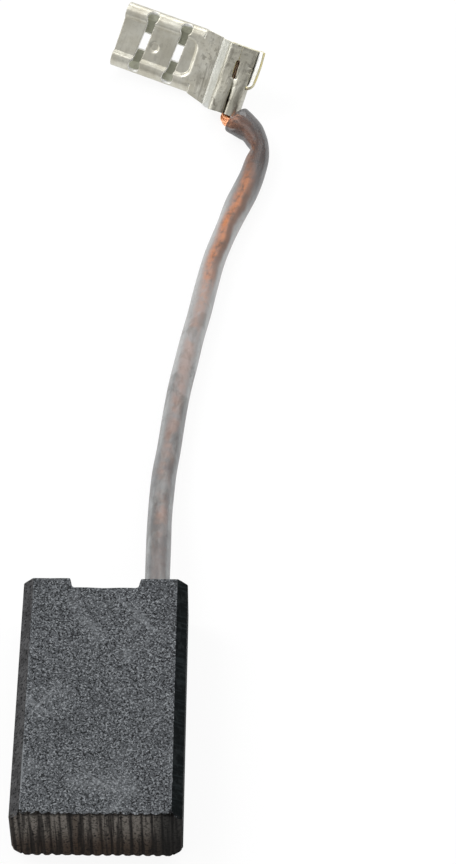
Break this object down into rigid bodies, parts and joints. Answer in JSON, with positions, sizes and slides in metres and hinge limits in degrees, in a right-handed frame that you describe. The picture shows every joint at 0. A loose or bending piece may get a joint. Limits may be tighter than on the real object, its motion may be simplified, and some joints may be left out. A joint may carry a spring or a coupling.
{
  "type": "carbon motor brush",
  "caption": "Carbon motor brush with a spring notch, a sleeved copper pigtail and a folded flag receptacle crimped to its end.",
  "frame": {"origin": "middle of the block's broad back face, which is the face it lies on", "axes": "X across the block toward the pigtail's side, Y from the wear face to the pigtail end, Z from the back face to the front face"},
  "size_m": [0.0239, 0.1101, 0.0075],
  "materials": {
    "carbon": "matt pressed electrographite",
    "contact_powder": "matt copper-graphite powder",
    "copper": "bare stranded copper",
    "sleeve": "satin translucent sleeving",
    "tinned_brass": "dull tin plate on brass"
  },
  "bodies": {
    "root": {"carbon_block": "carbon", "contact_plug": "contact_powder", "copper_rope": "copper", "insulating_sleeve": "sleeve", "flag_terminal": "tinned_brass"}
  },
  "joints": []
}
